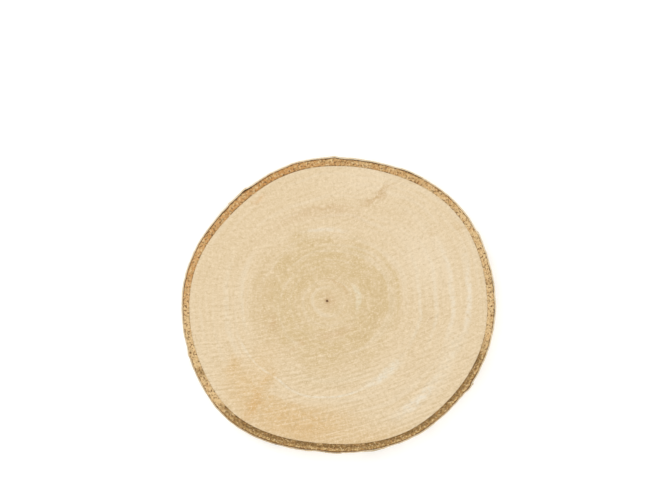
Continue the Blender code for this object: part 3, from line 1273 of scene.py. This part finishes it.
# %% Paint the heart and the rings
heart_distance = distance + bench.band(bench.noise(spot, 14, detail=4), 0.25, 0.75, -7, 7)
heart = bench.band(heart_distance, 10, 24, 0.6, 1) * bench.band(heart_distance, 56, 36)
heart_mottles = bench.band(bench.noise(plane, 9, detail=4, roughness=0.6), 0.34, 0.58, 0.35, 1)
colour = bench.blend(heart * heart_mottles, SAPWOOD, HEARTWOOD)

# Good years and bad years: broad bands that change slowly round the pith.
grown_mm = growth * (WOOD_RADII.mean() / MM)
bands = bench.vector("ADD", bench.scaled(from_pith, 0.05, 0.05, 0), bench.joined(0, 0, grown_mm))
bands = bench.noise(bands, 4.6, detail=2, roughness=0.55)
colour = bench.tinted(
    colour,
    (bands, 0.48, 0.7, 0.2, paint(240, 228, 206)),
    (bands, 0.5, 0.3, 0.2, paint(206, 178, 128)),
)

years = growth * RING_COUNT
ring_phase = years + bench.noise(bench.joined(years), 2.5, detail=1) * 2.5
season = bench.math("FRACT", ring_phase)
year = bench.joined(bench.math("FLOOR", ring_phase), 4.7)
year_strength = bench.band(bench.noise(year, 0.7), 0.4, 0.68, 0.04, 0.2)
ring_breaks = bench.band(bench.noise(spot, 12), 0.3, 0.65)
late_wood = bench.band(season, 0.4, 1.0) * year_strength * ring_breaks
early_wood = bench.band(season, 0.4, 0.0, 0, 0.1) * ring_breaks
colour = bench.blend(late_wood, colour, paint(206, 174, 124))
colour = bench.blend(early_wood, colour, paint(244, 228, 196))

worn = bench.band(bench.noise(plane, 3, detail=4), 0.35, 0.62, 0.35, 1)
for radius, way, half_angle, half_width, shade, strength in RING_ARCS:
    off_way = abs(bench.math("WRAP", bearing - way, 180.0, -180.0))
    near_ring = bench.band(abs(distance - radius), half_width, half_width * 0.15)
    near_way = bench.band(off_way, half_angle, half_angle * 0.2, 0, strength)
    colour = bench.blend(near_ring * near_way * worn, colour, paint(*shade))
print(len(RING_ARCS), "stretches of ring stand out")

# %% [markdown]
# Stains are ovals with ragged edges. The saw's arcs get bands of painted light and painted
# shade. The fine grain is noise, stretched along the saw's arcs for torn fibres and outwards
# from the pith for rays, each with a pale and a dark side. Pores and the dark dot of the pith
# come last.

# %% Add the stains, the saw's marks in painted light and shade, and the pores
ragged = bench.noise(spot, 6, detail=4, roughness=0.65, colour=True)
shifted = bench.moved(bench.vector("ADD", plane, bench.scaled(ragged, 14, 14, 0)), -7, -7, 0)
for middle, turn, half_length, half_width, shade, strength in WOOD_STAINS:
    mask = bench.use(
        PATCH, Place=shifted, Middle=(*middle, 0), Turn=turn, Half_Length=half_length,
        Half_Width=half_width,
    )["Mask"]
    colour = bench.blend(mask * strength, colour, paint(*shade))

sides = bench.parts(spot)
upper = bench.math("GREATER_THAN", sides[2], THICKNESS / MM / 2)
mirror = upper * 2.0 - 1.0
sawn_side = bench.joined(sides[0] * mirror, sides[1])
saw = bench.use(SAW_ARCS, Place=sawn_side, Pitch=SAW_PITCH / MM)
fine_saw = bench.use(SAW_ARCS, Place=sawn_side, Pitch=1.07)
sawn = saw["Sawn Place"]
# The saw's painted light and shade grow sharper towards the front of the slice.
saw_groove_shading = saw["Mask"] * bench.band(sides[1], 20, -60, 0.5, 1)
streaked = bench.band(sides[1], 20, -60, 0.1, 0.36)
fibres = bench.noise(bench.scaled(sawn, 0.55, 1, 1), 0.8, detail=3, roughness=0.7)
streaks = bench.noise(bench.scaled(sawn, 0.12, 1, 1), 1.0, detail=3, roughness=0.65)
way = bench.vector("NORMALIZE", from_pith)
rays = bench.vector("ADD", bench.scaled(way, 70, 70, 0), bench.joined(0, 0, distance * 0.07))
rays = bench.noise(rays, 0.8, detail=3, roughness=0.6)
mottles = bench.noise(plane, 2.4, detail=5, roughness=0.72)
# Bands of painted light and painted shade along the saw's arcs come first, then the real grain.
colour = bench.tinted(
    colour,
    (saw_groove_shading, 0, 1, 0.24, PALE_GRAIN_AND_RIDGE_LIGHT),
    (saw_groove_shading, 0, -1, 0.24, DARK_GRAIN_AND_GROOVE_SHADE),
    (fibres, 0.5, 0.75, 0.42, PALE_GRAIN_AND_RIDGE_LIGHT),
    (fibres, 0.48, 0.25, 0.42, DARK_GRAIN_AND_GROOVE_SHADE),
    (streaks, 0.5, 0.7, streaked, PALE_GRAIN_AND_RIDGE_LIGHT),
    (streaks, 0.5, 0.3, streaked, DARK_GRAIN_AND_GROOVE_SHADE),
    (rays, 0.54, 0.74, 0.24, PALE_GRAIN_AND_RIDGE_LIGHT),
    (rays, 0.46, 0.26, 0.24, DARK_GRAIN_AND_GROOVE_SHADE),
    (mottles, 0.5, 0.68, 0.44, PALE_GRAIN_AND_RIDGE_LIGHT),
    (mottles, 0.48, 0.32, 0.42, DARK_GRAIN_AND_GROOVE_SHADE),
)
colour = grained(
    bench, colour,
    (plane, 1.1, 0.5, 0.65, PALE_GRAIN_AND_RIDGE_LIGHT),
    (plane, 0.28, 0.45, 0.25, paint(168, 132, 84)),
)
ragged = bench.scaled(bench.noise(spot, 0.7, colour=True), 0.7, 0.7, 0)
off_pith = bench.moved(bench.vector("ADD", from_pith, ragged), -0.35, -0.35, 0)
off_pith = bench.vector("LENGTH", off_pith)
colour = bench.tinted(
    colour,
    (off_pith, 3.4, 0.4, 0.4, paint(186, 146, 96)),
    (off_pith, 1.15, 0.45, 0.95, paint(104, 66, 34)),
)

fuzz = bench.noise(bench.scaled(sawn, 0.45, 1, 1), 0.45, detail=4, roughness=0.7)
fuzzy = bench.bump(fuzz, 0.12, 0.7)
wood_looks = {
    "Base Color": colour,
    "Normal": bench.bump(fine_saw["Mask"] * 0.5, 0.03, 0.6, under=fuzzy),
    "Roughness": bench.band(fuzz, 0.3, 0.7, 0.72, 0.92),
    "Specular IOR Level": 0.5,
}
coat([wood], wood_finish, bench, wood_looks)

# %% [markdown]
# ## The finish of the inner bark
#
# Next to the wood runs the cambium, a thin dark line. Then comes orange-brown cork, packed
# with darker and paler grains, and a second dark line under the paper. The ring is warmer on
# one side of the trunk and greyer on the other, where it is more weathered.

# %% Paint the inner bark
WEATHERED_WAY = (0.26, -0.97, 0)
DAMP_WAY = (-0.75, 0.66, 0)

cork_finish, bench = new_material("birch_cork")
spot = bench.place()
ragged = bench.band(bench.noise(spot, 1.3, detail=3), 0.2, 0.8, -0.1, 0.1)
depth_here = bench.attribute("depth") + ragged
side = bench.vector("DOT_PRODUCT", spot, WEATHERED_WAY)
side = side + bench.band(bench.noise(spot, 14, detail=3), 0.2, 0.8, -50, 50)
weathered = bench.band(side, 25, 80)
far_side = bench.band(abs(side), 25, 85)
damp = bench.band(bench.vector("DOT_PRODUCT", spot, DAMP_WAY), 70, 92)
cork = bench.blend(weathered, paint(238, 202, 148), paint(172, 132, 76))
cork = bench.tinted(cork, (side, -30, -95, 1, paint(208, 160, 102)))
cork = bench.blend(damp * 0.6, cork, paint(208, 140, 66))
cork = blotched(
    bench, cork,
    (spot, 3.2, 0.48, 0.64, 0.6, paint(214, 158, 94)),
    (bench.moved(spot, 8, 60, 2), 2.4, 0.5, 0.66, 0.6, paint(176, 150, 96)),
    (spot, 1.6, 0.5, 0.62, 0.85, paint(128, 88, 46)),
    (bench.moved(spot, 31, 17, 5), 1.6, 0.53, 0.63, 0.8, paint(244, 212, 158)),
)
cork = grained(
    bench, cork,
    (spot, 1.6, 0.48, 0.85, paint(84, 58, 32)),
    (spot, 0.6, 0.48, 0.7, paint(84, 58, 32)),
)

# From the wood outwards: a shade, the cambium's line, a paler row and the line under the paper.
patchy = bench.band(bench.noise(bench.moved(spot, 6, 50, 8), 1.5, detail=4), 0.38, 0.6, 1, 0.15)
inner_shade = bench.band(depth_here, 0.66, 0.4, 0, 0.75) * weathered * patchy
cork = bench.blend(inner_shade, cork, paint(104, 74, 30))
pale_row = bench.band(depth_here, 0.45, 0.6) * bench.band(depth_here, 0.92, 0.8)
pale_row = pale_row * bench.band(far_side, 0, 1, 0.4, 0.9)
pale_place = bench.moved(spot, 40, 3, 9)
cork = grained(bench, cork, (pale_place, 1.7, 0.6, pale_row, paint(240, 208, 146)))
broken = bench.band(bench.noise(spot, 4, detail=3), 0.42, 0.56, 0.2, 0.9)
cambium = bench.band(depth_here, 0.16, 0.03) * broken * bench.band(far_side, 0, 1, 0.45, 0.9)
cork = bench.blend(cambium, cork, paint(98, 68, 32))
outer_line = bench.math("MAXIMUM", broken, bench.math("MAXIMUM", damp, far_side))
outer_line = outer_line * bench.band(depth_here, 0.83, 0.95, 0, 0.85)
cork = bench.blend(outer_line, cork, paint(100, 60, 20))
crumbs = bench.noise(bench.moved(spot, 3, 12, 21), 0.45, detail=4, roughness=0.75)
cork = bench.tinted(
    cork,
    (crumbs, 0.5, 0.68, 0.4, paint(244, 216, 168)),
    (crumbs, 0.5, 0.32, 0.45, paint(104, 74, 42)),
)

layers = bench.noise(bench.scaled(spot, 0.3, 0.3, 1.6), 1.0, detail=3)
torn_side = bench.blend(bench.band(layers, 0.35, 0.65), paint(184, 146, 84), paint(220, 190, 128))
crumb_bump = bench.noise(spot, 0.35, detail=3, roughness=0.65)
cork_looks = {
    "Base Color": bench.blend(bench.attribute("cut_face"), torn_side, cork),
    "Normal": bench.bump(crumb_bump, 0.25, 0.8),
    "Roughness": 0.9,
    "Specular IOR Level": 0.2,
}
coat([inner_bark], cork_finish, bench, cork_looks)

# %% [markdown]
# ## The finish of the paper
#
# White birch bark is not one white: cream, blue-grey and a pinkish buff lie side by side in
# soft upright bands, crossed by hair-thin sideways lines. Lenticels are brown inside, with
# upright streaks and a pale rim. Stains are olive-tan, and dirt sits as fine dark grains. Each
# mark's soft outline comes from the attributes, and noise breaks it up to a ragged edge.

# %% Paint the paper
paper_finish, bench = new_material("birch_paper")
spot = bench.place()
upright = bench.scaled(spot, 1, 1, 0.35)
sideways = bench.scaled(spot, 0.14, 0.14, 1)
colour = blotched(
    bench, paint(238, 220, 178),
    (upright, 9, 0.42, 0.6, 1.0, paint(227, 214, 190)),
    (bench.moved(upright, 50, 20, 9), 7, 0.5, 0.64, 0.65, paint(232, 208, 176)),
    (bench.moved(upright, 11, 70, 3), 4, 0.52, 0.66, 0.55, paint(200, 192, 168)),
    (bench.moved(spot, 90, 40, 13), 2.2, 0.48, 0.66, 0.42, paint(178, 156, 112)),
    (bench.moved(spot, 60, 80, 33), 1.6, 0.5, 0.66, 0.55, paint(252, 244, 226)),
)
colour = bench.blend(bench.attribute("fresh") * 0.7, colour, paint(224, 212, 188))

# The paper yellows towards its upper and lower edge.
height = bench.parts(spot)[2] + bench.band(bench.noise(spot, 4), 0.2, 0.8, -2, 2)
low_edge = bench.band(height, 3.6, 0.4, 0, 0.6)
high_edge = bench.band(height, 15.6, 19.2, 0, 0.6)
colour = bench.blend(bench.math("MAXIMUM", low_edge, high_edge), colour, paint(220, 188, 124))

upright_lines = bench.noise(bench.scaled(spot, 1, 1, 0.2), 0.8, detail=3, roughness=0.6)
mottles = bench.noise(spot, 1.1, detail=4, roughness=0.75)
weather = bench.band(bench.noise(bench.moved(spot, 30, 20, 70), 16), 0.42, 0.6, 0.2, 1)
side_lines = bench.noise(sideways, 0.35, detail=3, roughness=0.6)
colour = bench.tinted(
    colour,
    (upright_lines, 0.52, 0.75, 0.18, paint(172, 150, 112)),
    (upright_lines, 0.48, 0.25, 0.18, paint(248, 238, 214)),
    (mottles, 0.52, 0.68, weather * 0.45, paint(158, 135, 90)),
    (mottles, 0.48, 0.32, weather * 0.35, paint(252, 244, 222)),
    (side_lines, 0.58, 0.75, 0.5, paint(162, 136, 96)),
    (side_lines, 0.42, 0.25, 0.35, paint(248, 240, 220)),
)
print("the white is painted")

# %% [markdown]
# The marks' outlines come from the mesh, and noise makes them ragged. Stains go on first, then
# the lenticels, then dirt, because dust settles on everything.

# %% Add the stains, the lenticels and the dirt
edge_noise = bench.band(bench.noise(spot, 1.1, detail=3, roughness=0.6), 0.2, 0.8, -0.5, 0.5)
streaks = bench.noise(bench.scaled(spot, 1, 1, 0.2), 0.55, detail=3, roughness=0.7)
stain_here = bench.attribute("stain") + edge_noise * 0.9
stain_here = stain_here + bench.band(streaks, 0.3, 0.7, -0.18, 0.18)
stain_blotch = (upright, 1.6, 0.38, 0.62, 1.0, paint(144, 116, 62))
stain_colour = blotched(bench, paint(200, 168, 104), stain_blotch)
colour = bench.tinted(colour, (stain_here, 0.1, 0.95, 0.95, stain_colour))

lens_here = bench.attribute("lens")
lens_edge = lens_here + edge_noise * 0.2
rim = bench.band(lens_edge, -0.55, -0.2) * bench.band(lens_edge, 0.15, -0.05)
colour = bench.blend(rim * 0.4, colour, paint(238, 214, 184))
dashes = bench.noise(bench.scaled(spot, 1, 1, 0.45), 0.8, detail=3, roughness=0.7)
brown = bench.tinted(
    bench.blend(bench.attribute("olive"), paint(188, 134, 62), paint(148, 120, 54)),
    (lens_edge, 0.3, 0.05, 0.6, paint(194, 156, 90)),
    (lens_here, 0.25, 0.8, 0.7, paint(114, 82, 32)),
    (dashes, 0.5, 0.64, 0.75, paint(88, 64, 26)),
    (dashes, 0.46, 0.34, 0.7, paint(214, 168, 98)),
)
colour = bench.tinted(colour, (lens_edge, -0.06, 0.14, 1, brown))

soot_here = bench.attribute("soot")
colour = bench.tinted(colour, (soot_here, 0.1, 1.3, 0.3, paint(144, 120, 76)))
sooty = bench.band(soot_here + edge_noise * 0.6, 0.25, 0.6, 0, 0.9)
gathered = bench.band(bench.noise(bench.moved(spot, 5, 90, 2), 9), 0.4, 0.6, 0.15, 0.9)
colour = grained(
    bench, colour,
    (spot, 1.7, soot_here * 0.78, sooty, paint(82, 64, 34)),
    (spot, 0.7, soot_here * 0.8, sooty, paint(82, 64, 34)),
    (bench.moved(spot, 7, 3, 1), 0.9, 0.4, gathered, paint(104, 84, 52)),
)

layers = bench.band(bench.noise(sideways, 0.3), 0.35, 0.65)
under_skin = bench.blend(layers, paint(232, 208, 172), paint(248, 234, 208))
wrinkles = bench.bump(side_lines, 0.12, 0.6)
furrows = bench.bump(upright_lines, 0.1, 0.4, under=wrinkles)
corky = streaks * bench.band(lens_edge, 0.0, 0.3)
paper_looks = {
    "Base Color": bench.blend(bench.attribute("skin"), under_skin, colour),
    "Normal": bench.bump(corky, 0.35, 0.9, under=furrows),
    "Roughness": bench.band(lens_edge, -0.1, 0.1, 0.6, 0.88),
    "Specular IOR Level": 0.35,
}
coat([paper_bark, bark_flakes], paper_finish, bench, paper_looks)

# %% [markdown]
# ## Laying the surfaces out flat
#
# A viewer that doesn't know these nodes shows the slice with pictures of its colours, and each
# piece needs a flat map that says which part of the picture goes where. Unrolling the rings wastes
# less of the picture than an automatic map. The paper and the inner bark are cut into equal
# stretches, laid one above the other. The wood is two discs, the upper one larger.

# %% Make helpers to lay out a ring and a disc
FLAT_MAP = "OFBake"
PAPER_STRETCHES = 6
INNER_STRETCHES = 8
MARGIN = 0.01
UPPER_DISC = (0.355, 0.7)
LOWER_DISC = (0.775, 0.44)
WALL_STRIP = (0.74, 0.25, 0.02, 0.06)


def faces_of(piece):
    """The corner of each face's every point, and where each face starts and how many it has."""
    corners = np.empty(len(piece.data.loops), dtype=int)
    piece.data.loops.foreach_get("vertex_index", corners)
    starts = np.empty(len(piece.data.polygons), dtype=int)
    piece.data.polygons.foreach_get("loop_start", starts)
    return corners, starts, np.diff(np.append(starts, len(corners)))


def unrolled(values, starts, counts, whole):
    """Values that go round, with no jump from the last to the first inside a face."""
    low = np.repeat(np.minimum.reduceat(values, starts), counts)
    high = np.repeat(np.maximum.reduceat(values, starts), counts)
    crosses = high - low > whole / 2
    return values + whole * (crosses & (values < whole / 2))


def keep_map(piece, u, v):
    for old in list(piece.data.uv_layers):
        piece.data.uv_layers.remove(old)
    flat = piece.data.uv_layers.new(name=FLAT_MAP)
    flat.uv.foreach_set("vector", np.column_stack([u, v]).astype(np.float32).ravel())


def lay_out_ring(piece, stretches, shares):
    """Lays a ring out in stretches. The shares say how far up a stretch each loop lies."""
    corners, starts, counts = faces_of(piece)
    columns = unrolled(columns_of(piece)[corners], starts, counts, COLUMNS)
    rows = unrolled(corners // COLUMNS, starts, counts, len(shares))
    first = np.repeat(np.minimum.reduceat(columns, starts), counts)
    stretch = first * stretches // COLUMNS
    u = MARGIN + (1 - 2 * MARGIN) * (columns * stretches / COLUMNS - stretch)
    up = np.append(shares, 1)[rows]
    v = (stretch + 0.05 + 0.9 * up) / stretches
    keep_map(piece, u, v)


def lay_out_disc(piece):
    corners, starts, counts = faces_of(piece)
    normals = np.empty(len(starts) * 3)
    piece.data.polygons.foreach_get("normal", normals)
    upwards = np.repeat(normals[2::3], counts)
    x, y, z = places_of(piece)[corners].T
    turn = unrolled(np.degrees(np.arctan2(y, x)) % 360, starts, counts, 360)
    left, length, low, high = WALL_STRIP
    u = left + length * turn / 720
    v = low + (high - low) * z / THICKNESS
    for faces, (middle, size) in ((upwards > 0.5, UPPER_DISC), (upwards < -0.5, LOWER_DISC)):
        u = np.where(faces, middle + size * x / (2 * GRID_REACH), u)
        v = np.where(faces, middle + size * y / (2 * GRID_REACH), v)
    keep_map(piece, u, v)


print("rings and discs can be laid out")

# %% [markdown]
# Each ring says how far up a stretch its loops lie. Up a stretch of the inner bark come its
# upper face, its wall, its lower face and its inner wall.

# %% Lay out the pieces
inner_shares = np.concatenate([
    [0],
    np.linspace(0.04, 0.44, UPPER_RINGS + 1),
    np.linspace(0.48, 0.7, len(wall_heights)),
    np.linspace(0.72, 0.96, LOWER_RINGS + 1),
])
outer_shares = np.linspace(0, 0.9, PAPER_ROWS + 1)
paper_shares = np.append(outer_shares, np.linspace(0.92, 0.98, len(BACK_ROWS)))
lay_out_ring(inner_bark, INNER_STRETCHES, inner_shares)
lay_out_ring(paper_bark, PAPER_STRETCHES, paper_shares)
lay_out_disc(wood)
print("three pieces have a flat map")

# %% [markdown]
# ## The sizes
#
# The dressed part has to stay inside the imported model's box, so both boxes are measured and
# kept side by side, and the dressed part's size is printed.

# %% Measure the sizes and finish
VISUAL_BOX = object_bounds()
size = {"cad": [list(corner) for corner in CAD_BOX], "visual": [list(corner) for corner in VISUAL_BOX]}
sides_mm = [round(side / MM, 2) for side in VISUAL_BOX[1] - VISUAL_BOX[0]]
print("the dressed part's box in mm:", sides_mm)
